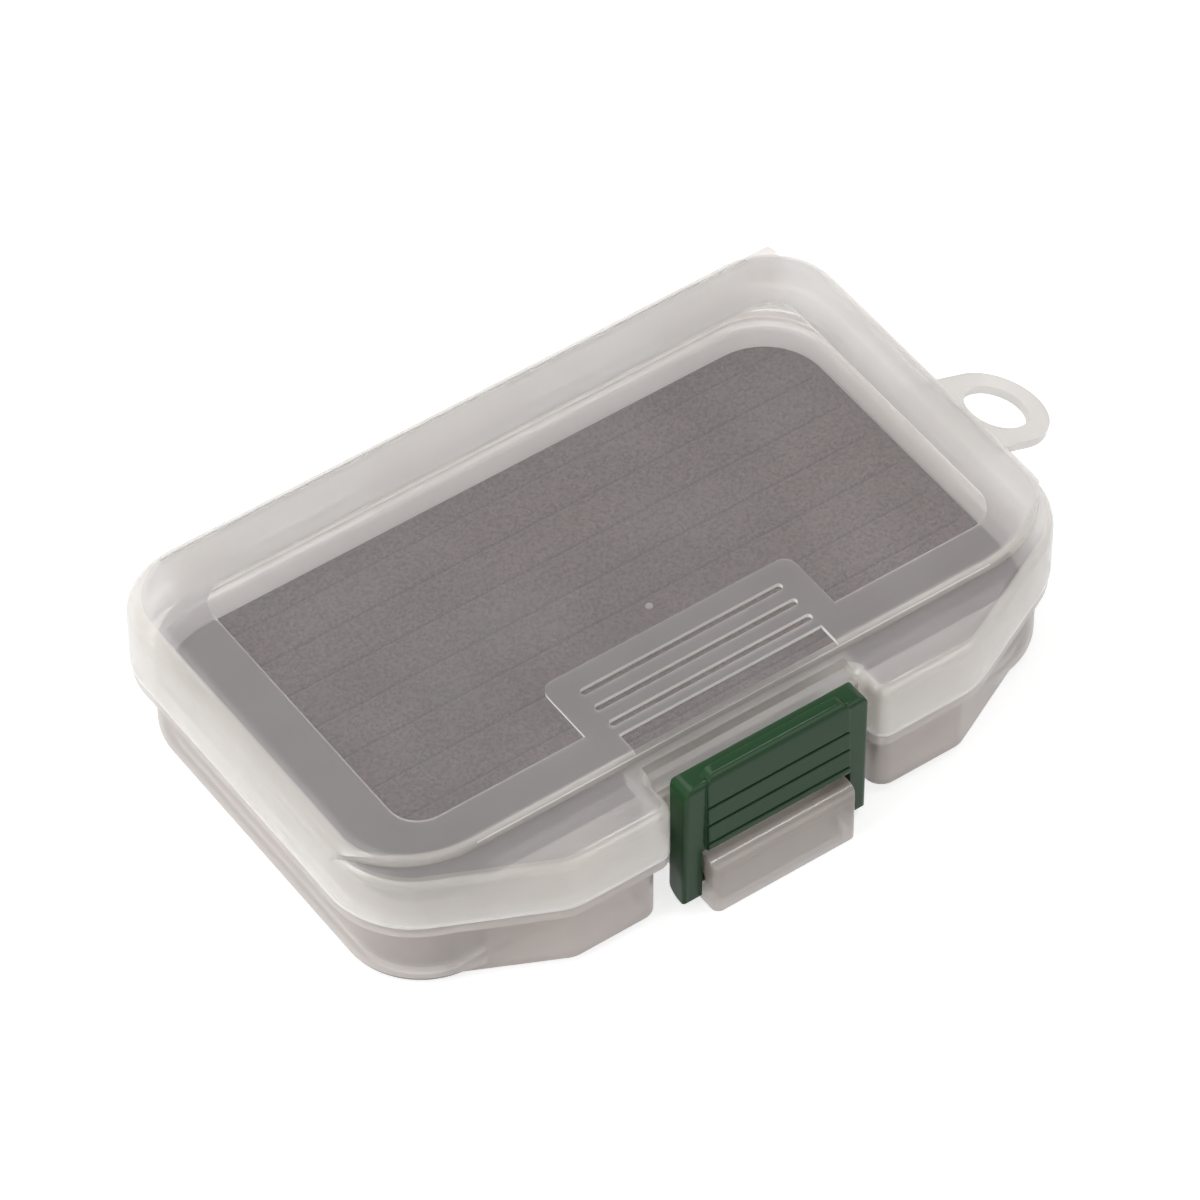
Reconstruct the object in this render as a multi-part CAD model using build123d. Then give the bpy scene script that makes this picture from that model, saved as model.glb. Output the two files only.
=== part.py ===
from build123d import *
import os

# Foam lure box: a shallow tray with a slit foam pad, a hinged lid with a
# clear window, a swinging front latch and a hanging ring on the right side.
# Millimetres. X runs along the box, +Y points at the hinge, +Z is up.
# The origin is the centre of the tray's underside.

# Tray
tub_width = 83.4
tub_depth = 49.8
tub_corner_radius = 8.8
tub_wall = 1.2
floor_thickness = 1.2
tub_bottom_radius = 1.5
tub_inner_bottom_radius = 0.5
rim_height = 1.5
rim_inset = 0.3

# Heights
overall_height = 19.0
flange_top = 10.2
flange_thickness = 1.2
lid_seat_gap = 0.2

# Lid outline, measured outward from the tray
lid_side_overhang = 1.7
lid_back_overhang = 1.6
lid_front_overhang = 6.2
lid_back_corner_radius = 8.5
lid_front_corner_radius = 10.0
lid_kink_radius = 8.0
lid_kink_x = 24.7
lid_chamfer_rise = 9.0
lid_wall = 1.2
lid_top_radius = 2.8
lid_inner_radius = 1.3
flange_inset = 0.15

# Raised top of the lid and the low shelf in front of it
shelf_drop = 1.5
shelf_edge_radius = 1.5
plateau_front_setback = 7.0
plateau_corner_radius = 13.0
plateau_side_run = 1.0
plateau_edge_radius = 0.7

# Clear window in the raised top
window_width = 72.6
window_depth = 38.2
window_front_margin = 4.6
window_corner_radius = 3.5
window_recess = 0.3
gate_mark_radius = 0.4
gate_mark_height = 0.12
gate_mark_y = -9.0

# Slotted panel behind the latch
slot_panel_width = 30.6
slot_panel_reach = 12.5
slot_panel_radius = 1.5
slot_count = 3
slot_length = 24.8
slot_width = 0.9
slot_pitch = 2.5
slot_depth = 0.5
slot_first_setback = 7.7
pocket_length = 2.9

# Latch notch in the lid, with its stepped wall and catch
notch_half_width = 12.4
notch_depth = 4.8
notch_outer_radius = 1.8
notch_inner_radius = 1.0
catch_top_drop = 3.0
catch_thickness = 1.3
catch_ledge_reach = 1.1
catch_nose_reach = 1.9
catch_nose_half_width = 8.3
step_depth = 0.9

# Apron wall under the front of the flange
apron_front_inset = 1.25
apron_end_x = 13.4
apron_end_radius = 2.0
apron_kink_x = 23.9
apron_kink_radius = 3.0
apron_root_x = 34.0
apron_wall = 1.2
apron_floor_gap = 1.1

# Latch tab on the tray
tab_half_width = 8.75
tab_reach = 7.9
tab_height = 7.0
tab_top_radius = 1.8
tab_corner_radius = 0.9
tab_side_wall = 1.5
tab_wall = 1.2
pivot_setback = 3.3
pivot_height = 3.4
pivot_radius = 1.1
pivot_clearance = 0.2
pivot_length = 1.4

# Latch
latch_side_gap = 0.35
latch_arm_width = 2.2
latch_arm_front = 1.35
latch_arm_foot = 1.0
latch_arm_foot_radius = 2.2
latch_front_foot_radius = 0.5
latch_top_drop = 0.8
latch_plate_thickness = 0.8
latch_panel_gap = 0.4
latch_panel_forward = 0.15
latch_panel_rake = 0.5
latch_panel_bottom_clearance = 1.1
latch_panel_top_radius = 1.1
latch_lip_rise = 0.8
latch_lip_thickness = 1.6
latch_lip_depth = 1.2
latch_lip_back_radius = 0.3
latch_panel_corner_radius = 1.5
latch_corner_radius = 1.7
latch_upright_radius = 0.55
latch_edge_radius = 0.75
latch_nose_gap = 0.5
catch_clearance = 0.25
groove_count = 3
groove_pitch = 2.55
groove_lowest = 1.4
groove_width = 0.4
groove_depth = 0.25

# Hinge along the back, with a steel pin
hinge_radius = 1.9
hinge_wall_gap = 0.7
pin_radius = 0.6
pin_fit = 0.05
hinge_running_fit = 0.12
knuckle_gap = 0.3
knuckle_inner_x = 10.0
knuckle_outer_x = 27.0
hinge_left_end = -33.0
hinge_right_end = 43.6
pin_end_inset = 0.6
hinge_lug_root_x = 40.5
hinge_lug_root_y = 22.0
hinge_lug_side = 2.7

# Hanging ring
ring_outer_radius = 5.9
ring_hole_radius = 3.6
ring_thickness = 1.0
ring_reach = 9.4
ring_root = 1.4
ring_droop = 20.0
ring_y = 1.15

# Foam pad and its adhesive sheet
foam_gap = 0.3
foam_thickness = 6.4
foam_corner_radius = 7.3
adhesive_thickness = 0.2
adhesive_inset = 1.0
slit_pitch = 5.0
slit_width = 0.3
slit_depth = 4.2
slit_end_margin = 1.5
slit_offset_y = 0.2

# Places worked out from the sizes above
tub_front = -tub_depth / 2
tub_back = tub_depth / 2
lid_half_width = tub_width / 2 + lid_side_overhang
lid_front = tub_front - lid_front_overhang
lid_back = tub_back + lid_back_overhang
lid_bottom = flange_top + lid_seat_gap
flange_bottom = flange_top - flange_thickness
rim_top = flange_top + rim_height
shelf_top = overall_height - shelf_drop
plateau_front = lid_front + plateau_front_setback
notch_back = lid_front + notch_depth
window_front = plateau_front + window_front_margin
window_back = window_front + window_depth
step_y = plateau_front - step_depth
catch_top = overall_height - catch_top_drop
latch_top = overall_height - latch_top_drop
lip_top = latch_top + latch_lip_rise
catch_bottom = catch_top - catch_thickness
ledge_front = notch_back - catch_ledge_reach
nose_front = ledge_front - catch_nose_reach
apron_front = lid_front + apron_front_inset
tab_front = tub_front - tab_reach
pivot_y = tab_front + pivot_setback
hinge_y = lid_back + hinge_wall_gap + hinge_radius
hinge_z = lid_bottom
arm_inner_x = tab_half_width + latch_side_gap
arm_outer_x = arm_inner_x + latch_arm_width
arm_front = pivot_y - latch_arm_front
arm_back = ledge_front - latch_nose_gap
foam_bottom = floor_thickness + adhesive_thickness
foam_top = foam_bottom + foam_thickness
slack = 5.0
hidden_radius = 0.05


def prism(points, radii, bottom, top):
    """A closed outline with one radius per corner, raised from bottom to top."""
    outline = FilletPolyline(*points, radius=radii, close=True)
    face = make_face(outline)
    return Pos(0, 0, bottom) * extrude(face, top - bottom, dir=(0, 0, 1))


def rounded_block(width, front, back, radius, bottom, top):
    """A block centred on X with rounded upright corners."""
    face = RectangleRounded(width, back - front, radius)
    return Pos(0, (front + back) / 2, bottom) * extrude(face, top - bottom)


def block(x_low, x_high, y_low, y_high, z_low, z_high):
    """A plain box between two corners."""
    size = (x_high - x_low, y_high - y_low, z_high - z_low)
    centre = ((x_low + x_high) / 2, (y_low + y_high) / 2, (z_low + z_high) / 2)
    return Pos(*centre) * Box(*size)


def rod(radius, x_low, x_high, y, z):
    """A round bar along X."""
    middle = (x_low + x_high) / 2
    return Pos(middle, y, z) * Rot(0, 90, 0) * Cylinder(radius, x_high - x_low)


def side_profile(points, radii, x_low, x_high):
    """A closed outline in Y and Z with one radius per corner, raised along X."""
    outline = FilletPolyline(*points, radius=radii, close=True)
    face = Plane.YZ * make_face(outline)
    return Pos(x_low, 0, 0) * extrude(face, x_high - x_low)


def top_edges(shape, z):
    """The edges that lie flat at one height."""
    return [edge for edge in shape.edges() if abs(edge.bounding_box().min.Z - z) < 0.001
            and abs(edge.bounding_box().max.Z - z) < 0.001]


def lid_outline(inset, bottom, top, notched=True):
    """The lid's plan outline, drawn in by inset, with or without the latch notch."""
    half = lid_half_width - inset
    front = lid_front + inset
    back = lid_back - inset
    slope = lid_chamfer_rise / (lid_half_width - lid_kink_x)
    shift = inset * ((1 + slope ** 2) ** 0.5 - 1) / slope
    kink = lid_kink_x - shift
    side = front + slope * (half - kink)
    outer = [(-half, side), (-half, back), (half, back), (half, side), (kink, front)]
    radii = [lid_front_corner_radius - inset, lid_back_corner_radius - inset,
             lid_back_corner_radius - inset, lid_front_corner_radius - inset,
             lid_kink_radius - inset]
    if notched:
        mouth = notch_half_width + inset
        root = notch_back + inset
        outer += [(mouth, front), (mouth, root), (-mouth, root), (-mouth, front)]
        convex = notch_outer_radius - inset
        concave = notch_inner_radius + inset
        radii += [max(convex, 0.3), concave, concave, max(convex, 0.3)]
    outer.append((-kink, front))
    radii.append(lid_kink_radius - inset)
    return prism(outer, radii, bottom, top)


def plateau_limit(inset, bottom, top):
    """The upright limit of the raised top, which cuts it off above the shelf."""
    half = lid_half_width + plateau_side_run - inset
    front = plateau_front + inset
    back = lid_back + plateau_side_run
    points = [(-half, front), (-half, back), (half, back), (half, front)]
    corner = plateau_corner_radius - inset
    return prism(points, [corner, 1.0, 1.0, corner], bottom, top)


def lid_outer():
    """The lid's outer form: low shelf in front, raised top behind it."""
    low = lid_outline(0, lid_bottom, shelf_top)
    low = fillet(top_edges(low, shelf_top), shelf_edge_radius)
    high = lid_outline(0, lid_bottom, overall_height, notched=False)
    high = fillet(top_edges(high, overall_height), lid_top_radius)
    limit = plateau_limit(0, lid_bottom, overall_height)
    limit = fillet(top_edges(limit, overall_height), plateau_edge_radius)
    return low + (high & limit)


def lid_cavity():
    """The hollow inside the lid, one wall in from the outer form."""
    low = lid_outline(lid_wall, lid_bottom - slack, shelf_top - lid_wall)
    ceiling = overall_height - lid_wall
    high = lid_outline(lid_wall, lid_bottom, ceiling, notched=False)
    high = fillet(top_edges(high, ceiling), lid_inner_radius)
    high = high & plateau_limit(lid_wall, lid_bottom, ceiling + slack)
    mouth = notch_half_width + lid_wall
    upper_wall = step_y + lid_wall
    high -= block(-mouth, mouth, lid_front, notch_back + lid_wall, lid_bottom - slack, ceiling)
    hollow = low + high
    roof = catch_top - lid_wall
    return hollow - block(-mouth, mouth, lid_front, upper_wall, roof, ceiling)


def catch():
    """The ledge across the notch and the nose that the latch closes over."""
    ledge = block(-notch_half_width, notch_half_width, ledge_front, notch_back + lid_wall,
                  catch_bottom, catch_top)
    nose = block(-catch_nose_half_width, catch_nose_half_width, nose_front, ledge_front,
                 catch_bottom, catch_top)
    return ledge + nose


def window_cut():
    """The window's recess, which goes round the slotted panel."""
    bottom = overall_height - window_recess
    recess = rounded_block(window_width, window_front, window_back, window_corner_radius,
                           bottom, overall_height + slack)
    panel = rounded_block(slot_panel_width, plateau_front - slack,
                          plateau_front + slot_panel_reach, slot_panel_radius,
                          bottom, overall_height + slack)
    return recess - panel


def slot_cuts():
    """The slim slots in the panel, and the open pocket in front of them."""
    bottom = overall_height - slot_depth
    height = slot_depth + slack
    first = plateau_front + slot_first_setback + slot_width
    cuts = []
    for index in range(slot_count):
        y = first + slot_width - index * slot_pitch
        face = SlotOverall(slot_length, slot_width)
        cuts.append(Pos(0, y, bottom) * extrude(face, height))
    half = slot_length / 2
    pocket = block(-half, half, plateau_front - slack, plateau_front + pocket_length,
                   bottom, overall_height + slack)
    return cuts + [pocket]


def knuckles(spans, web, bore):
    """Hinge barrels over the given X spans, joined to their webs and bored for the pin."""
    shape = web
    for low, high in spans:
        shape += rod(hinge_radius, low, high, hinge_y, hinge_z)
    return shape - rod(bore, hinge_left_end - slack, hinge_right_end + slack, hinge_y, hinge_z)


def lid_hinge():
    """The lid's two barrels, each with a web from the back wall."""
    half_gap = knuckle_gap / 2
    low = knuckle_inner_x + half_gap
    high = knuckle_outer_x - half_gap
    spans = [(-high, -low), (low, high)]
    web = Part()
    for start, end in spans:
        web += block(start, end, lid_back - lid_wall / 2, hinge_y,
                     lid_bottom, lid_bottom + hinge_radius)
    return knuckles(spans, web, pin_radius + hinge_running_fit)


def make_lid():
    """The whole lid."""
    lid = lid_outer() - lid_cavity()
    lid -= block(-notch_half_width, notch_half_width, lid_front - slack, step_y,
                 catch_top, overall_height + slack)
    lid += catch()
    lid -= window_cut()
    for cut in slot_cuts():
        lid -= cut
    mark = Cylinder(gate_mark_radius, gate_mark_height + window_recess)
    mark_z = overall_height - window_recess + gate_mark_height / 2 - window_recess / 2
    lid += Pos(0, gate_mark_y, mark_z) * mark
    return lid + lid_hinge()


def apron(side, inset, bottom, top):
    """One apron, or the hollow behind it when it is drawn in by inset."""
    front = apron_front + inset
    slope = (tub_front - apron_front) / (apron_root_x - apron_kink_x)
    shift = inset * ((1 + slope ** 2) ** 0.5 - 1) / slope
    root = tub_front + tub_wall / 2
    kink = apron_kink_x - shift
    root_x = kink + (root - front) / slope
    end = apron_end_x + inset
    points = [(side * end, root), (side * end, front), (side * kink, front),
              (side * root_x, root)]
    radii = [hidden_radius, max(apron_end_radius - inset, 0.3), apron_kink_radius - inset,
             hidden_radius]
    return prism(points, radii, bottom, top)


def tab():
    """The hollow tab that carries the latch, open underneath."""
    root = tub_front + tub_wall / 2
    plan = [(-tab_half_width, root), (-tab_half_width, tab_front), (tab_half_width, tab_front),
            (tab_half_width, root)]
    corner = tab_corner_radius
    outer = prism(plan, [hidden_radius, corner, corner, hidden_radius], 0, tab_height)
    profile = [(tab_front, 0), (tab_front, tab_height), (root, tab_height), (root, 0)]
    rounded = [hidden_radius, tab_top_radius, hidden_radius, hidden_radius]
    outer &= side_profile(profile, rounded, -tab_half_width, tab_half_width)
    inner_half = tab_half_width - tab_side_wall
    inner = block(-inner_half, inner_half, tab_front + tab_wall, tub_front,
                  -slack, tab_height - tab_wall)
    hole = rod(pivot_radius + pivot_clearance, -tab_half_width - slack, tab_half_width + slack,
               pivot_y, pivot_height)
    return outer - inner - hole


def ring():
    """The hanging ring, which slopes down and out from the flange's right edge."""
    eye = Pos(ring_reach, 0) * Circle(ring_outer_radius)
    neck = Pos((ring_reach - ring_root) / 2, 0) * Rectangle(ring_reach + ring_root,
                                                            2 * ring_outer_radius)
    hole = Pos(ring_reach, 0) * Circle(ring_hole_radius)
    plate = extrude(eye + neck - hole, -ring_thickness)
    plate = Pos(lid_half_width - flange_inset, ring_y, flange_top) * Rot(0, ring_droop, 0) * plate
    far = lid_half_width + 3 * ring_reach
    return plate & block(0, far, -ring_reach * 3, ring_reach * 3, -slack, flange_top)


def tray_hinge():
    """The tray's three barrels; the right one runs on to the corner lug."""
    half_gap = knuckle_gap / 2
    left = (hinge_left_end, -knuckle_outer_x - half_gap)
    middle = (-knuckle_inner_x + half_gap, knuckle_inner_x - half_gap)
    right = (knuckle_outer_x + half_gap, hinge_right_end)
    web = Part()
    for start, end in (left, middle, right):
        web += block(start, end, lid_back - flange_inset - tub_wall, hinge_y,
                     flange_bottom, flange_top)
    lug = Polyline((hinge_lug_root_x, hinge_lug_root_y), (right[0], hinge_lug_root_y),
                   (right[0], hinge_y), (right[1], hinge_y),
                   (right[1], hinge_y - hinge_lug_side), close=True)
    plate = extrude(make_face(lug), flange_thickness)
    web += Pos(0, 0, flange_bottom) * plate
    return knuckles([left, middle, right], web, pin_radius + pin_fit)


def make_tray():
    """The whole tray."""
    body = rounded_block(tub_width, tub_front, tub_back, tub_corner_radius, 0, flange_top)
    body = fillet(top_edges(body, 0), tub_bottom_radius)
    body += rounded_block(tub_width - 2 * rim_inset, tub_front + rim_inset, tub_back - rim_inset,
                          tub_corner_radius - rim_inset, flange_bottom, rim_top)
    body += lid_outline(flange_inset, flange_bottom, flange_top)
    for side in (-1, 1):
        body += apron(side, 0, apron_floor_gap, flange_bottom) - apron(side, apron_wall, -slack, flange_bottom)
    body += tray_hinge()
    body += ring()
    body += tab()
    hollow = rounded_block(tub_width - 2 * tub_wall, tub_front + tub_wall, tub_back - tub_wall,
                           tub_corner_radius - tub_wall, floor_thickness, rim_top + slack)
    hollow = fillet(top_edges(hollow, floor_thickness), tub_inner_bottom_radius)
    return body - hollow


def latch_limit(half, radius, top):
    """The latch's outline seen from the front, with rounded upper corners."""
    outline = FilletPolyline((-half, 0), (-half, top), (half, top), (half, 0),
                             radius=[hidden_radius, radius, radius, hidden_radius], close=True)
    face = Plane.XZ * make_face(outline)
    return Pos(0, arm_back + slack, 0) * extrude(face, 3 * slack)


def latch_arm(side):
    """One side arm with its rounded foot and pivot stud."""
    points = [(arm_front, latch_arm_foot), (arm_front, latch_top), (arm_back, latch_top),
              (arm_back, latch_arm_foot)]
    radii = [latch_front_foot_radius, latch_edge_radius, latch_edge_radius,
             latch_arm_foot_radius]
    ends = sorted((side * arm_inner_x, side * arm_outer_x))
    arm = side_profile(points, radii, ends[0], ends[1])
    stud = sorted((side * (arm_inner_x + latch_arm_width / 2),
                   side * (arm_inner_x - pivot_length)))
    return arm + rod(pivot_radius, stud[0], stud[1], pivot_y, pivot_height)


def latch_panel():
    """The raised thumb panel, raked forward at the bottom, with its lip and grooves."""
    half = arm_inner_x - latch_panel_gap
    bottom = tab_height + latch_panel_bottom_clearance
    front = arm_front - latch_panel_forward
    back = arm_front + latch_plate_thickness
    lip_back = front + latch_lip_thickness
    lip_bottom = latch_top - latch_lip_depth
    points = [(front - latch_panel_rake, bottom), (front, lip_top), (lip_back, lip_top),
              (lip_back, lip_bottom), (back, lip_bottom), (back, bottom)]
    radii = [latch_edge_radius, latch_panel_top_radius, latch_lip_back_radius, hidden_radius,
             hidden_radius, hidden_radius]
    panel = side_profile(points, radii, -half, half)
    lean = latch_panel_rake / (lip_top - bottom)
    for index in range(groove_count):
        z = bottom + groove_lowest + index * groove_pitch
        y = front - latch_panel_rake + lean * (z - bottom)
        panel -= block(-half, half, y - slack, y + groove_depth,
                       z - groove_width / 2, z + groove_width / 2)
    return panel & latch_limit(half, latch_panel_corner_radius, lip_top)


def make_latch():
    """The latch: two arms, a top bar, a back plate and the thumb panel."""
    bar = [(arm_front, catch_top + catch_clearance), (arm_front, latch_top),
           (arm_back, latch_top), (arm_back, catch_top + catch_clearance)]
    edges = [hidden_radius, latch_edge_radius, latch_edge_radius, hidden_radius]
    frame = side_profile(bar, edges, -arm_outer_x, arm_outer_x)
    plate_bottom = tab_height + latch_panel_bottom_clearance
    frame += block(-arm_outer_x, arm_outer_x, arm_front, arm_front + latch_plate_thickness,
                   plate_bottom, latch_top - latch_edge_radius)
    frame += latch_arm(-1) + latch_arm(1)
    frame &= latch_limit(arm_outer_x, latch_corner_radius, latch_top)
    frame &= rounded_block(2 * arm_outer_x, arm_front, arm_back, latch_upright_radius,
                           0, overall_height)
    return frame + latch_panel()


def make_hinge_pin():
    """The steel pin, pushed in from the lug at the right corner."""
    return rod(pin_radius, hinge_left_end + pin_end_inset, hinge_right_end - pin_end_inset,
               hinge_y, hinge_z)


def make_adhesive():
    """The thin adhesive sheet that holds the foam to the floor."""
    inset = tub_wall + adhesive_inset
    return rounded_block(tub_width - 2 * inset, tub_front + inset, tub_back - inset,
                         tub_corner_radius - inset, floor_thickness,
                         foam_bottom)


def make_foam():
    """The foam pad with its row of slits."""
    inset = tub_wall + foam_gap
    width = tub_width - 2 * inset
    front = tub_front + inset
    back = tub_back - inset
    pad = rounded_block(width, front, back, foam_corner_radius, foam_bottom, foam_top)
    count = int((back - front) / slit_pitch)
    first = slit_offset_y - slit_pitch * (count - 1) / 2
    half = width / 2 - slit_end_margin
    for index in range(count):
        y = first + index * slit_pitch
        pad -= block(-half, half, y - slit_width / 2, y + slit_width / 2,
                     foam_top - slit_depth, foam_top + slack)
    return pad


parts = {
    "base_tray": make_tray,
    "lid": make_lid,
    "latch": make_latch,
    "hinge_pin": make_hinge_pin,
    "foam_pad": make_foam,
    "foam_adhesive": make_adhesive,
}

os.makedirs("parts", exist_ok=True)
for name, make in parts.items():
    export_step(make(), f"parts/{name}.step")
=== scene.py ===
import math

import bmesh
import bpy
import numpy as np
from mathutils import Matrix, Vector


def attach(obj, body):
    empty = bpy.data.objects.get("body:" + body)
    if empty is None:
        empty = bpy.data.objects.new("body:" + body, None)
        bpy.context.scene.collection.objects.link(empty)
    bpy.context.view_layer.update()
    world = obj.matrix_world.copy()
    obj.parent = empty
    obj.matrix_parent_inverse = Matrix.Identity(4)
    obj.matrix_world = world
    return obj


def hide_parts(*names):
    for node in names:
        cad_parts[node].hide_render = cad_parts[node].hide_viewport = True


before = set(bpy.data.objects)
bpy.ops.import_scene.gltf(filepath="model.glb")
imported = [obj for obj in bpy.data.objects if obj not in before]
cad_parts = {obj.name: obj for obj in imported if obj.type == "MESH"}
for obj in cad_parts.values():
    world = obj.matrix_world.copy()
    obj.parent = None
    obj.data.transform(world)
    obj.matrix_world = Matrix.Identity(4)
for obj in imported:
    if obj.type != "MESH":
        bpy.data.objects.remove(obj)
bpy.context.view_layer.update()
scene = bpy.context.scene
scene.view_settings.view_transform = "Standard"
mm = 0.001


def newMesh(name, points, faces):
    # points: n x 3 array in metres; faces: corner numbers, anticlockwise seen from outside
    mesh = bpy.data.meshes.new(name)
    mesh.from_pydata(points.tolist(), [], faces)
    mesh.validate()
    mesh.polygons.foreach_set("use_smooth", np.full(len(mesh.polygons), True))
    mesh.update()
    piece = bpy.data.objects.new(name, mesh)
    scene.collection.objects.link(piece)
    return piece


def nodeBox(name):
    # lowest and highest corner of a CAD node, in millimetres
    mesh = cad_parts[name].data
    points = np.empty(len(mesh.vertices) * 3)
    mesh.vertices.foreach_get("co", points)
    points = np.round(points.reshape(-1, 3) / mm, 4)
    return points.min(axis=0), points.max(axis=0)


def node(tree, kind, where=(0, 0), **settings):
    made = tree.nodes.new(kind)
    made.location = where
    for key, value in settings.items():
        setattr(made, key, value)
    return made


def setIn(made, **values):
    # each key is a socket's name, with an underscore for a space
    for key, value in values.items():
        made.inputs[key.replace("_", " ")].default_value = value
    return made


def mathNode(tree, operation, *values, clamp=False):
    # each value is a number or the socket that it comes from
    made = node(tree, "ShaderNodeMath", operation=operation, use_clamp=clamp)
    for socket, value in zip(made.inputs, values):
        if hasattr(value, "is_linked"):
            tree.links.new(value, socket)
        else:
            socket.default_value = value
    return made.outputs[0]


def newMaterial(name):
    material = bpy.data.materials.new(name)
    material.use_nodes = True
    tree = material.node_tree
    tree.nodes.clear()
    output = node(tree, "ShaderNodeOutputMaterial", (900, 0))
    shader = node(tree, "ShaderNodeBsdfPrincipled", (600, 0))
    tree.links.new(shader.outputs[0], output.inputs["Surface"])
    return material, tree, shader


def newGroup(name, inputs, outputs):
    group = bpy.data.node_groups.new(name, "ShaderNodeTree")
    for label, kind, value in inputs:
        socket = group.interface.new_socket(name=label, in_out="INPUT", socket_type=kind)
        socket.default_value = value
    for label, kind in outputs:
        group.interface.new_socket(name=label, in_out="OUTPUT", socket_type=kind)
    return group, node(group, "NodeGroupInput", (-900, 0)), node(group, "NodeGroupOutput", (600, 0))


def place(tree, group, **values):
    made = node(tree, "ShaderNodeGroup", (-300, 0))
    made.node_tree = group
    return setIn(made, **values)


# fine grain: noise turned into a bump, with the noise itself as a mask of light and dark spots
def grainGroup():
    group, given, out = newGroup("mouldedGrain", [
        ("Scale", "NodeSocketFloat", 1500.0),
        ("Strength", "NodeSocketFloat", 0.1),
        ("Distance", "NodeSocketFloat", 0.0001),
    ], [("Normal", "NodeSocketVector"), ("Mask", "NodeSocketFloat")])
    coords = node(group, "ShaderNodeTexCoord", (-900, -200))
    fine = node(group, "ShaderNodeTexNoise", (-600, 0))
    setIn(fine, Detail=3.0, Roughness=0.6)
    bump = node(group, "ShaderNodeBump", (0, 0))
    group.links.new(coords.outputs["Object"], fine.inputs["Vector"])
    group.links.new(given.outputs["Scale"], fine.inputs["Scale"])
    group.links.new(fine.outputs["Fac"], bump.inputs["Height"])
    group.links.new(given.outputs["Strength"], bump.inputs["Strength"])
    group.links.new(given.outputs["Distance"], bump.inputs["Distance"])
    group.links.new(bump.outputs[0], out.inputs["Normal"])
    group.links.new(fine.outputs["Fac"], out.inputs["Mask"])
    return group


# slow cloudiness of a moulded wall: broad noise spread between a low and a high value
def cloudGroup():
    group, given, out = newGroup("mouldedCloud", [
        ("Scale", "NodeSocketFloat", 70.0),
        ("Low", "NodeSocketFloat", 0.3),
        ("High", "NodeSocketFloat", 0.4),
    ], [("Value", "NodeSocketFloat")])
    coords = node(group, "ShaderNodeTexCoord", (-900, -200))
    broad = node(group, "ShaderNodeTexNoise", (-600, 0))
    setIn(broad, Detail=2.0, Roughness=0.5)
    spread = node(group, "ShaderNodeMapRange", (-200, 0))
    setIn(spread, From_Min=0.35, From_Max=0.65)
    group.links.new(coords.outputs["Object"], broad.inputs["Vector"])
    group.links.new(given.outputs["Scale"], broad.inputs["Scale"])
    group.links.new(broad.outputs["Fac"], spread.inputs["Value"])
    group.links.new(given.outputs["Low"], spread.inputs["To Min"])
    group.links.new(given.outputs["High"], spread.inputs["To Max"])
    group.links.new(spread.outputs[0], out.inputs["Value"])
    return group


# two colours by a mask: Low up to Start, High from End, and an even blend between them
def tintGroup():
    group, given, out = newGroup("twoToneTint", [
        ("Mask", "NodeSocketFloat", 0.5),
        ("Start", "NodeSocketFloat", 0.4),
        ("End", "NodeSocketFloat", 0.6),
        ("Low", "NodeSocketColor", (0.2, 0.2, 0.2, 1)),
        ("High", "NodeSocketColor", (0.8, 0.8, 0.8, 1)),
    ], [("Color", "NodeSocketColor")])
    spread = node(group, "ShaderNodeMapRange", (-500, 0))
    blend = node(group, "ShaderNodeMix", (0, 0), data_type="RGBA")
    group.links.new(given.outputs["Mask"], spread.inputs["Value"])
    group.links.new(given.outputs["Start"], spread.inputs["From Min"])
    group.links.new(given.outputs["End"], spread.inputs["From Max"])
    group.links.new(spread.outputs[0], blend.inputs[0])
    group.links.new(given.outputs["Low"], blend.inputs[6])
    group.links.new(given.outputs["High"], blend.inputs[7])
    group.links.new(blend.outputs[2], out.inputs["Color"])
    return group


grain = grainGroup()
cloud = cloudGroup()
tint = tintGroup()
print("node groups made")


def cloudInto(tree, socket, scale, low, high):
    # a value that drifts between low and high over the surface
    made = place(tree, cloud, Scale=scale, Low=low, High=high)
    tree.links.new(made.outputs["Value"], socket)
    return made.outputs["Value"]


def grainedColor(tree, shader, look):
    # grain as a bump, and its light and dark spots as two colours
    skin = place(tree, grain, Scale=look["grainScale"], Strength=look["grainStrength"],
                 Distance=look["grainDepth"] * mm)
    shade = place(tree, tint, Start=look["darkUpTo"], End=look["paleFrom"],
                  Low=look["dark"], High=look["pale"])
    tree.links.new(skin.outputs["Mask"], shade.inputs["Mask"])
    tree.links.new(skin.outputs["Normal"], shader.inputs["Normal"])
    return shade.outputs["Color"]


# camera, fitted to the outline of the box in the photograph; metres
cameraFit = {
    "place": (-0.27890519, -0.39730596, 0.55393018),
    "right": (0.81569907, -0.57846388, -0.00381839),
    "up": (0.43314347, 0.60637912, 0.66685163),
    "lens": 214.997, "sensor": 36.0,
    "nearest": 0.05, "furthest": 20.0,
}


def makeCamera():
    data = bpy.data.cameras.new("studioCamera")
    data.lens = cameraFit["lens"]
    data.sensor_width = cameraFit["sensor"]
    data.clip_start = cameraFit["nearest"]
    data.clip_end = cameraFit["furthest"]
    camera = bpy.data.objects.new("studioCamera", data)
    right, up = Vector(cameraFit["right"]).normalized(), Vector(cameraFit["up"]).normalized()
    turn = Matrix((right, up, right.cross(up))).transposed().to_4x4()
    camera.matrix_world = Matrix.Translation(Vector(cameraFit["place"])) @ turn
    scene.collection.objects.link(camera)
    scene.camera = camera
    print("camera placed")


makeCamera()

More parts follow.
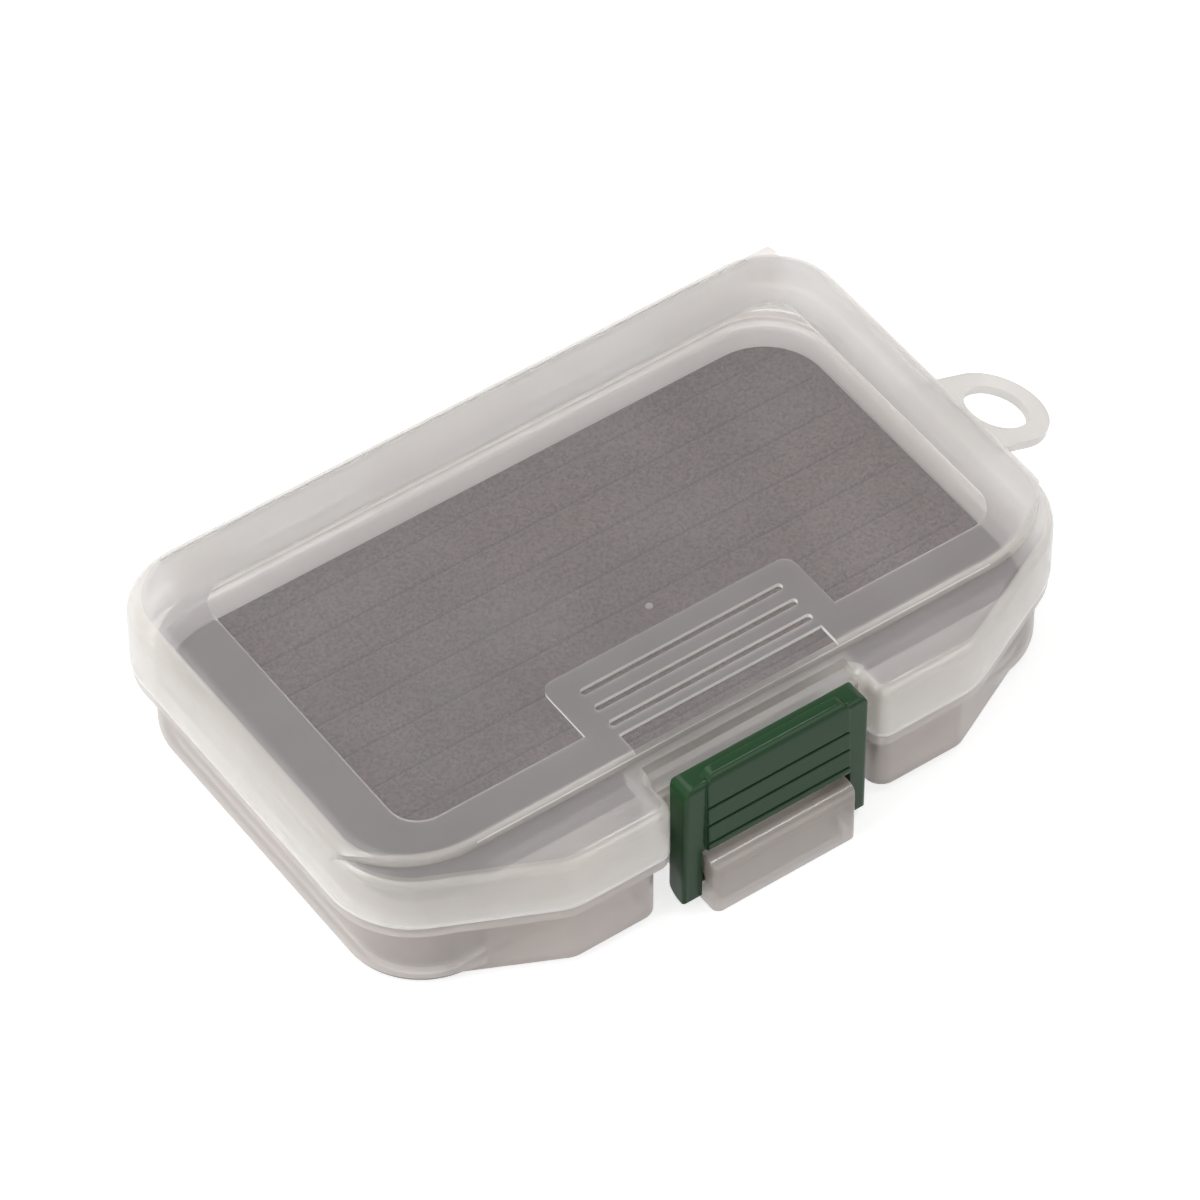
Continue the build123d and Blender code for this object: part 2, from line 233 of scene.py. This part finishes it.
# pale floor and world, which the camera and reflections see as white; metres
studio = {
    "floorSize": 3.0, "floorColor": (0.60, 0.60, 0.60, 1), "floorRoughness": 0.9,
    "floorGlow": 0.72,   # added to the floor only where it is seen
    "worldLight": 0.28,  # strength of the world as a light
}


def whiteRays(tree):
    # 1 for camera, glossy and transmission rays, and 0 for the rays that carry light
    path = node(tree, "ShaderNodeLightPath", (-600, 200))
    seen = mathNode(tree, "ADD", path.outputs["Is Camera Ray"], path.outputs["Is Glossy Ray"])
    return mathNode(tree, "ADD", seen, path.outputs["Is Transmission Ray"], clamp=True)


def makeFloor():
    half = studio["floorSize"] / 2
    points = np.array([(-half, -half, 0), (half, -half, 0), (half, half, 0), (-half, half, 0)])
    floor = newMesh("floor", points, [(0, 1, 2, 3)])
    material, tree, shader = newMaterial("paleFloor")
    setIn(shader, Base_Color=studio["floorColor"], Roughness=studio["floorRoughness"],
          Specular_IOR_Level=0.0, Emission_Color=(1, 1, 1, 1))
    glow = mathNode(tree, "MULTIPLY", whiteRays(tree), studio["floorGlow"])
    tree.links.new(glow, shader.inputs["Emission Strength"])
    floor.data.materials.append(material)


def makeWorld():
    # strength = 1 where the world is seen, and worldLight where it lights the box
    world = bpy.data.worlds.new("studioWorld")
    scene.world = world
    world.use_nodes = True
    tree = world.node_tree
    tree.nodes.clear()
    strength = mathNode(tree, "MULTIPLY_ADD", whiteRays(tree), 1.0 - studio["worldLight"],
                        studio["worldLight"])
    back = node(tree, "ShaderNodeBackground", (0, 0))
    setIn(back, Color=(1, 1, 1, 1))
    output = node(tree, "ShaderNodeOutputWorld", (300, 0))
    tree.links.new(strength, back.inputs["Strength"])
    tree.links.new(back.outputs[0], output.inputs["Surface"])


makeFloor()
makeWorld()
print("studio made")

# square area lamps, all turned to the middle of the box; metres and watts
lampAim = (0, 0, 0.01)
lamps = [
    {"name": "softTop", "place": (-0.35, 0.35, 0.85), "size": 0.7, "power": 3.6},
    {"name": "softLeft", "place": (-0.9, 0.1, 0.45), "size": 0.5, "power": 4.7},
    {"name": "smallGlint", "place": (0.34, -0.20, 0.85), "size": 0.09, "power": 0.9},
    {"name": "frontFill", "place": (0.45, -0.80, 0.50), "size": 0.5, "power": 1.6},
]


def makeLamps():
    for lamp in lamps:
        data = bpy.data.lights.new(lamp["name"], "AREA")
        data.shape = "SQUARE"
        data.size = lamp["size"]
        data.energy = lamp["power"]
        light = bpy.data.objects.new(lamp["name"], data)
        light.location = lamp["place"]
        aim = Vector(lampAim) - Vector(lamp["place"])
        light.rotation_euler = aim.to_track_quat("-Z", "Y").to_euler()
        scene.collection.objects.link(light)
    print("lamps made")


makeLamps()

# hinge pin: drawn steel wire
pinLook = {
    "color": (0.62, 0.62, 0.63, 1),
    "wearScale": 900.0, "smoothest": 0.18, "roughest": 0.38,
    "lineScale": 9000.0, "lineStretch": 0.02, "lineStrength": 0.25, "lineDepth": 0.05,
}


def steelMaterial():
    # lines drawn along the wire: fine noise stretched along X, used as a bump
    look = pinLook
    material, tree, shader = newMaterial("drawnSteel")
    setIn(shader, Base_Color=look["color"], Metallic=1.0)
    cloudInto(tree, shader.inputs["Roughness"], look["wearScale"], look["smoothest"],
              look["roughest"])
    coords = node(tree, "ShaderNodeTexCoord", (-900, -300))
    stretch = node(tree, "ShaderNodeMapping", (-700, -300))
    setIn(stretch, Scale=(look["lineStretch"], 1, 1))
    lines = node(tree, "ShaderNodeTexNoise", (-500, -300))
    setIn(lines, Scale=look["lineScale"], Detail=2.0)
    bump = node(tree, "ShaderNodeBump", (-250, -300))
    setIn(bump, Strength=look["lineStrength"], Distance=look["lineDepth"] * mm)
    tree.links.new(coords.outputs["Object"], stretch.inputs["Vector"])
    tree.links.new(stretch.outputs[0], lines.inputs["Vector"])
    tree.links.new(lines.outputs["Fac"], bump.inputs["Height"])
    tree.links.new(bump.outputs[0], shader.inputs["Normal"])
    return material


# adhesive sheet: pale film with a fine grain
adhesiveLook = {
    "dark": (0.66, 0.64, 0.58, 1), "darkUpTo": 0.40,
    "pale": (0.82, 0.81, 0.77, 1), "paleFrom": 0.62,
    "grainScale": 1600.0, "grainStrength": 0.3, "grainDepth": 0.1,
    "wearScale": 150.0, "smoothest": 0.5, "roughest": 0.7,
}


def adhesiveMaterial():
    look = adhesiveLook
    material, tree, shader = newMaterial("adhesiveSheet")
    tree.links.new(grainedColor(tree, shader, look), shader.inputs["Base Color"])
    cloudInto(tree, shader.inputs["Roughness"], look["wearScale"], look["smoothest"],
              look["roughest"])
    return material


def paintNode(name, material):
    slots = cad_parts[name].material_slots
    if not slots:
        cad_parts[name].data.materials.append(material)
    for slot in slots:
        slot.material = material


paintNode("hinge_pin", steelMaterial())
paintNode("foam_adhesive", adhesiveMaterial())
print("CAD nodes painted")

# translucent moulding, the same for every finish of the lid and the tray
moulding = {
    "ior": 1.49, "coatRoughness": 0.12,
    "cloudScale": 75.0,                      # slow change of the alpha
    "wearScale": 320.0, "wearSpread": 0.05,  # change of the roughness, as a share of it
}


def paintRimHighlight(tree, shader, alpha, look):
    # painted highlight: the lower rim is whiter and nearly opaque, as colour and alpha go over to
    # the rim's own between two heights, by the Z of the object's coordinates
    coords = node(tree, "ShaderNodeTexCoord", (-900, 400))
    split = node(tree, "ShaderNodeSeparateXYZ", (-700, 400))
    height = node(tree, "ShaderNodeMapRange", (-500, 400), interpolation_type="SMOOTHSTEP")
    setIn(height, From_Min=look["rimStart"] * mm, From_Max=look["rimEnd"] * mm, To_Min=1.0,
          To_Max=0.0)
    tree.links.new(coords.outputs["Object"], split.inputs[0])
    tree.links.new(split.outputs["Z"], height.inputs["Value"])
    color = node(tree, "ShaderNodeMix", (0, 400), data_type="RGBA")
    color.inputs[6].default_value = look["base"]
    color.inputs[7].default_value = look["rimHighlightColor"]
    cover = node(tree, "ShaderNodeMix", (0, 200))
    cover.inputs[3].default_value = look["rimAlpha"]
    for mixed in (color, cover):
        tree.links.new(height.outputs[0], mixed.inputs[0])
    tree.links.new(alpha, cover.inputs[2])
    tree.links.new(color.outputs[2], shader.inputs["Base Color"])
    tree.links.new(cover.outputs[0], shader.inputs["Alpha"])


def plasticMaterial(look):
    # alpha lets the lamps in, and transmission blurs what lies behind
    material, tree, shader = newMaterial(look["name"])
    setIn(shader, Base_Color=look["base"], IOR=moulding["ior"],
          Transmission_Weight=look["transmission"], Coat_Weight=look["coat"],
          Coat_Roughness=moulding["coatRoughness"])
    alpha = cloudInto(tree, shader.inputs["Alpha"], moulding["cloudScale"],
                      look["alpha"] - look["cloud"], look["alpha"] + look["cloud"])
    if "rimHighlightColor" in look:
        paintRimHighlight(tree, shader, alpha, look)
    cloudInto(tree, shader.inputs["Roughness"], moulding["wearScale"],
              look["rough"] * (1 - moulding["wearSpread"]),
              look["rough"] * (1 + moulding["wearSpread"]))
    return material


# copy of a node's surface; millimetres and degrees
shellCopy = {
    "mergeWithin": 0.002, "flatWithin": 0.3,               # doubled corners and flat faces
    "sharpFrom": 32, "roundFrom": 40, "roundSegments": 2,  # angles at an edge
}


def copiedShell(nodeName, pieceName, rounding):
    # the moulding's own surface with its doubled corners merged and flat faces joined, so that
    # its sharp edges can be rounded by a small bevel
    work = bmesh.new()
    work.from_mesh(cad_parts[nodeName].data)
    bmesh.ops.remove_doubles(work, verts=work.verts, dist=shellCopy["mergeWithin"] * mm)
    bmesh.ops.dissolve_limit(work, angle_limit=math.radians(shellCopy["flatWithin"]),
                             verts=work.verts, edges=work.edges)
    mesh = bpy.data.meshes.new(pieceName)
    work.to_mesh(mesh)
    work.free()
    if "custom_normal" in mesh.attributes:
        mesh.attributes.remove(mesh.attributes["custom_normal"])
    mesh.polygons.foreach_set("use_smooth", np.full(len(mesh.polygons), True))
    mesh.set_sharp_from_angle(angle=math.radians(shellCopy["sharpFrom"]))
    mesh.update()
    piece = bpy.data.objects.new(pieceName, mesh)
    scene.collection.objects.link(piece)
    soft = piece.modifiers.new("roundedEdges", "BEVEL")
    soft.width = rounding * mm
    soft.segments = shellCopy["roundSegments"]
    soft.limit_method = "ANGLE"
    soft.angle_limit = math.radians(shellCopy["roundFrom"])
    soft.harden_normals = True
    soft.miter_outer = "MITER_ARC"
    return piece


def faceFacts(mesh):
    # each face's centre in millimetres and its normal
    centre = np.empty(len(mesh.polygons) * 3)
    normal = np.empty(len(mesh.polygons) * 3)
    mesh.polygons.foreach_get("center", centre)
    mesh.polygons.foreach_get("normal", normal)
    x, y, z = centre.reshape(-1, 3).T / mm
    return x, y, z, normal.reshape(-1, 3)


def paintFaces(mesh, finishes, choices):
    # choices: pairs of a face mask and the finish for it, where the first that fits counts;
    # the other faces get the first finish
    names = list(finishes)
    for finish in finishes.values():
        mesh.materials.append(plasticMaterial(finish))
    kind = np.select([mask for mask, _ in choices], [names.index(name) for _, name in choices], 0)
    mesh.polygons.foreach_set("material_index", kind.astype(np.int32))
    mesh.update()
    return dict(zip(names, np.bincount(kind).tolist()))


# lid: one plastic in four finishes, with painted highlights on some edges and along the skirt's
# lower rim; millimetres, with depths below the lid's top. The values named lean, facing and level
# are parts of a face's normal, from 0 to 1
lidLook = {
    "rounding": 0.10,
    "uprightDepth": 0.7, "uprightHalfX": 36.6, "uprightLean": 0.6,  # walls of the sunken places
    "slotHalfX": 15.6, "slotsBack": -11.4, "slotFacing": 0.4,       # with a painted highlight on those at the slots
    "sideFrom": 32.0, "sideFacing": 0.5,                            # and at the window's right
    "recessFrom": 0.1, "recessDepth": 0.6, "recessHalfX": 36.4,     # floor of the clear window
    "ceilingDepth": 3.0, "level": 0.9,                              # underside of the clear window
    "skirtDepth": 3.1, "wallLean": 0.93,                            # outer walls
    "gateMarkY": -9.0, "gateMarkRadius": 0.45,                      # mark of the mould's gate
    "finishes": {
        "frosted": {"name": "frostedLidPlastic", "base": (0.88, 0.865, 0.875, 1),
                    "transmission": 0.68, "rough": 0.30, "coat": 0.6, "alpha": 0.52,
                    "cloud": 0.02},
        "clear": {"name": "clearLidPlastic", "base": (0.96, 0.93, 0.93, 1), "transmission": 0.0,
                  "rough": 0.10, "coat": 0.0, "alpha": 0.10, "cloud": 0.008},
        "milky": {"name": "milkyLidPlastic", "base": (0.985, 0.945, 0.89, 1), "transmission": 0.60,
                  "rough": 0.36, "coat": 0.7, "alpha": 0.63, "cloud": 0.03,
                  # painted highlight: a white, nearly opaque band along the skirt's lower rim
                  "rimStart": 10.50, "rimEnd": 11.05, "rimAlpha": 0.97, "rimHighlightColor": (1, 1, 1, 1)},
        # painted highlight: near-white and nearly opaque, for the bright lines at the edges of the
        # slots and the window
        "paintedHighlight": {"name": "lidEdgePaintedHighlight", "base": (1.0, 0.99, 0.97, 1), "transmission": 0.0,
                     "rough": 0.30, "coat": 1.0, "alpha": 0.96, "cloud": 0.02},
    },
}


def lidShell():
    look = lidLook
    lid = copiedShell("lid", "lidShell", look["rounding"])
    x, y, z, toward = faceFacts(lid.data)
    up = toward[:, 2]
    depth = nodeBox("lid")[1][2] - z
    # walls of the slots, pocket and window that face the front or the left, which get a painted
    # highlight
    upright = np.abs(up) < look["uprightLean"]
    upright &= (depth < look["uprightDepth"]) & (np.abs(x) < look["uprightHalfX"])
    facing = (toward[:, 1] < -look["slotFacing"]) | (toward[:, 0] < -look["slotFacing"])
    slots = (np.abs(x) < look["slotHalfX"]) & (y < look["slotsBack"]) & facing
    side = (x > look["sideFrom"]) & (toward[:, 0] < -look["sideFacing"])
    mark = np.hypot(x, y - look["gateMarkY"]) < look["gateMarkRadius"]
    mark &= depth < look["recessDepth"]
    recess = (depth > look["recessFrom"]) & (depth < look["recessDepth"])
    recess &= (up > look["level"]) & (np.abs(x) < look["recessHalfX"])
    ceiling = (up < -look["level"]) & (depth < look["ceilingDepth"])
    walls = (np.abs(up) < look["wallLean"]) | (depth > look["skirtDepth"])
    counts = paintFaces(lid.data, look["finishes"], [
        (upright & (slots | side), "paintedHighlight"), (mark, "milky"), (recess | ceiling, "clear"),
        (walls, "milky")])
    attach(lid, "lid")
    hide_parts("lid")
    print("lid made, faces", counts)


lidShell()

# tray: one plastic in five finishes, two of which are painted shade; millimetres
trayLook = {
    "rounding": 0.10,
    "wallTop": 8.95, "wallHalfX": 40.9, "wallHalfY": 24.2, "floor": 0.2,  # walls under the flange
    "wallEndX": 43.3,
    "outward": 5.0,                    # an outer face lies further than this along its normal
    "tabHalfX": 10.5, "tabBack": -25.2,
    "footTop": 1.5, "footTilt": -0.3,  # rounded foot of the walls, with faces turned downwards, painted dark as a contact shadow
    "ringFrom": 43.6,
    "finishes": {
        "edges": {"name": "trayPlastic", "base": (1.0, 0.945, 0.905, 1), "transmission": 0.68,
                  "rough": 0.34, "coat": 0.25, "alpha": 0.64, "cloud": 0.03},
        "walls": {"name": "trayWallPlastic", "base": (0.70, 0.63, 0.59, 1), "transmission": 0.34,
                  "rough": 0.34, "coat": 0.3, "alpha": 0.84, "cloud": 0.03},
        # painted shade: the tray's plastic made darker on the tab, which sits in shade
        "tab": {"name": "trayTabPaintedShade", "base": (0.56, 0.495, 0.455, 1), "transmission": 0.30,
                "rough": 0.34, "coat": 0.3, "alpha": 0.86, "cloud": 0.03},
        # painted shade: nearly black and opaque, for the contact shadow along the bottom edge
        "foot": {"name": "trayFootPaintedShade", "base": (0.15, 0.13, 0.12, 1), "transmission": 0.20,
                 "rough": 0.34, "coat": 0.2, "alpha": 0.93, "cloud": 0.03},
        "ring": {"name": "trayRingPlastic", "base": (0.89, 0.85, 0.815, 1), "transmission": 0.50,
                 "rough": 0.34, "coat": 0.3, "alpha": 0.72, "cloud": 0.03},
    },
}


def trayShell():
    look = trayLook
    tray = copiedShell("base_tray", "trayShell", look["rounding"])
    x, y, z, toward = faceFacts(tray.data)
    # the outer walls and aprons under the flange look denser than the thin edges; the tab is
    # painted darker as shade, and the turn of the walls into the floor is darker still, as a
    # painted contact shadow
    low = z < look["wallTop"]
    outward = toward[:, 0] * x + toward[:, 1] * y > look["outward"]
    beside = (np.abs(x) > look["wallHalfX"]) | (np.abs(y) > look["wallHalfY"])
    walls = low & (beside | (z < look["floor"]) | outward) & (x < look["wallEndX"])
    tab = low & (np.abs(x) < look["tabHalfX"]) & (y < look["tabBack"])
    foot = walls & outward & (toward[:, 2] < look["footTilt"]) & (z < look["footTop"])
    counts = paintFaces(tray.data, look["finishes"], [
        (x > look["ringFrom"], "ring"), (foot & ~tab, "foot"), (tab, "tab"), (walls, "walls")])
    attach(tray, "tray")
    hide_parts("base_tray")
    print("tray made, faces", counts)


trayShell()

# latch: green plastic with worn gloss; millimetres
latchLook = {
    "rounding": 0.18,
    "shadedRadius": 0.35,  # radius to which every edge is shaded round
    "color": (0.010, 0.052, 0.014, 1), "ior": 1.48, "specular": 0.08,
    "coat": 0.30, "coatRoughness": 0.17,
    "wearScale": 400.0, "smoothest": 0.29, "roughest": 0.36,
}


def latchMaterial():
    look = latchLook
    material, tree, shader = newMaterial("greenLatchPlastic")
    setIn(shader, Base_Color=look["color"], IOR=look["ior"], Specular_IOR_Level=look["specular"],
          Coat_Weight=look["coat"], Coat_Roughness=look["coatRoughness"])
    cloudInto(tree, shader.inputs["Roughness"], look["wearScale"], look["smoothest"],
              look["roughest"])
    soft = node(tree, "ShaderNodeBevel", (-600, -200), samples=6)
    setIn(soft, Radius=look["shadedRadius"] * mm)
    tree.links.new(soft.outputs[0], shader.inputs["Normal"])
    return material


def latchShell():
    latch = copiedShell("latch", "latchShell", latchLook["rounding"])
    latch.data.materials.append(latchMaterial())
    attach(latch, "latch")
    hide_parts("latch")
    print("latch made")


latchShell()

# foam pad, with its outline and height from the CAD node; millimetres
foamLook = {
    "corner": 7.3, "edge": 0.5, "foot": 0.3, "edgeAngles": (30, 60, 90),
    "slits": 9, "pitch": 5.0, "offset": 0.2, "slitHalf": 0.08, "slitDepth": 0.6,
    "slitMargin": 1.5, "slitFade": 0.6,   # plain foam at a slit's ends, and the run up to it
    "pillow": 0.06, "flatRim": 2.0,       # dip towards a slit, and the rim where it fades out
    "slitRows": (0.03, 0.5, 1.2), "cornerRows": 14, "columns": 150, "columnBunch": 0.92,
    "dark": (0.050, 0.033, 0.031, 1), "darkUpTo": 0.35,
    "pale": (0.150, 0.103, 0.096, 1), "paleFrom": 0.68,
    "grainScale": 3000.0, "grainStrength": 0.45, "grainDepth": 0.2,
    "patchScale": 55.0, "patchDark": 0.72, "patchPale": 0.92, "rough": 0.95,
}


def foamMaterial():
    look = foamLook
    material, tree, shader = newMaterial("slitFoam")
    setIn(shader, Roughness=look["rough"])
    shade = node(tree, "ShaderNodeHueSaturation", (300, 200))
    tree.links.new(grainedColor(tree, shader, look), shade.inputs["Color"])
    cloudInto(tree, shade.inputs["Value"], look["patchScale"], look["patchDark"], look["patchPale"])
    tree.links.new(shade.outputs[0], shader.inputs["Base Color"])
    return material


def foamRows(look, limit, corner, slitsAt):
    # Y of the rows: beside each slit, midway between slits, and bunched where the corners turn
    beside = np.array(look["slitRows"] + (look["slitHalf"],))
    turn = limit - corner * (1 - np.cos(np.linspace(0, np.pi / 2, look["cornerRows"])))
    rows = np.concatenate([(slitsAt[:, None] + beside).ravel(), (slitsAt[:, None] - beside).ravel(),
                           (slitsAt[:-1] + slitsAt[1:]) / 2, turn, -turn])
    return np.unique(np.round(rows[np.abs(rows) <= limit], 4))


def foamTop(look, halfX, halfY, height):
    # rows across the rounded outline, each as wide as the outline is there, at
    # Z = height - (dip towards the nearest slit + V groove in it), which fades out at the rim
    slitsAt = (np.arange(look["slits"]) - (look["slits"] - 1) / 2) * look["pitch"] + look["offset"]
    limit, corner = halfY - look["edge"], look["corner"] - look["edge"]
    rows = foamRows(look, limit, corner, slitsAt)
    reach = look["columnBunch"] * np.pi / 2
    columns = np.sin(np.linspace(-reach, reach, look["columns"])) / np.sin(reach)
    past = np.maximum(np.abs(rows) - (limit - corner), 0)
    half = halfX - look["edge"] - corner + np.sqrt(np.maximum(corner ** 2 - past ** 2, 0))
    x = half[:, None] * columns
    y = np.repeat(rows[:, None], len(columns), 1)
    away = np.abs(y[..., None] - slitsAt).min(-1)
    groove = np.clip(1 - away / look["slitHalf"], 0, 1) * look["slitDepth"]
    groove *= np.clip((halfX - look["slitMargin"] - np.abs(x)) / look["slitFade"], 0, 1)
    dip = (1 - np.sin(np.pi * np.clip(away / look["pitch"], 0, 0.5)) ** 0.5) * look["pillow"]
    inside = np.minimum(limit - np.abs(y), half[:, None] - np.abs(x))
    z = height - (dip + groove) * np.clip(inside / look["flatRim"], 0, 1)
    return np.stack([x, y, z], -1)


def rimRings(look, rim, height, bottom):
    # the rim moved outwards and down: a quarter circle, the upright wall, and a foot drawn in
    along = np.roll(rim, -1, 0) - np.roll(rim, 1, 0)
    out = np.stack([along[:, 1], -along[:, 0]], -1)
    out /= np.maximum(np.linalg.norm(out, axis=1, keepdims=True), 1e-9)
    edge, foot, turn = look["edge"], look["foot"], np.radians(look["edgeAngles"])
    reach = np.append(edge * np.sin(turn), [edge, edge - foot])
    level = np.append(height - edge * (1 - np.cos(turn)), [bottom + foot, bottom])
    rings = np.repeat(rim[None], len(reach), 0)
    rings[..., :2] += out * reach[:, None, None]
    rings[..., 2] = level[:, None]
    return rings


def foamPad():
    # the top grid, the rings down its side, and the same grid again as the underside
    look = foamLook
    low, high = nodeBox("foam_pad")
    top = foamTop(look, high[0], high[1], high[2])
    under = top.copy()
    under[..., 2] = low[2]
    number = np.arange(top[..., 0].size).reshape(top.shape[:2])
    rim = np.concatenate([number[0, :], number[1:, -1], number[-1, -2::-1], number[-2:0:-1, 0]])
    rings = rimRings(look, top.reshape(-1, 3)[rim], high[2], low[2])
    points = np.concatenate([top.reshape(-1, 3), rings.reshape(-1, 3), under.reshape(-1, 3)])
    ringNumber = number.size + np.arange(rings.shape[0] * len(rim)).reshape(-1, len(rim))
    underStart = number.size + ringNumber.size
    loops = [rim, *ringNumber, underStart + rim]
    quads = np.stack([number[:-1, :-1], number[:-1, 1:], number[1:, 1:], number[1:, :-1]], -1)
    quads = quads.reshape(-1, 4)
    sides = [np.stack([upper, lower, np.roll(lower, -1), np.roll(upper, -1)], -1)
             for upper, lower in zip(loops[:-1], loops[1:])]
    faces = np.concatenate([quads] + sides + [quads[:, ::-1] + underStart]).tolist()
    pad = newMesh("foamPad", points * mm, faces)
    pad.data.materials.append(foamMaterial())
    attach(pad, "tray")
    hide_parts("foam_pad")
    print("foam pad made", len(points), "points")


foamPad()
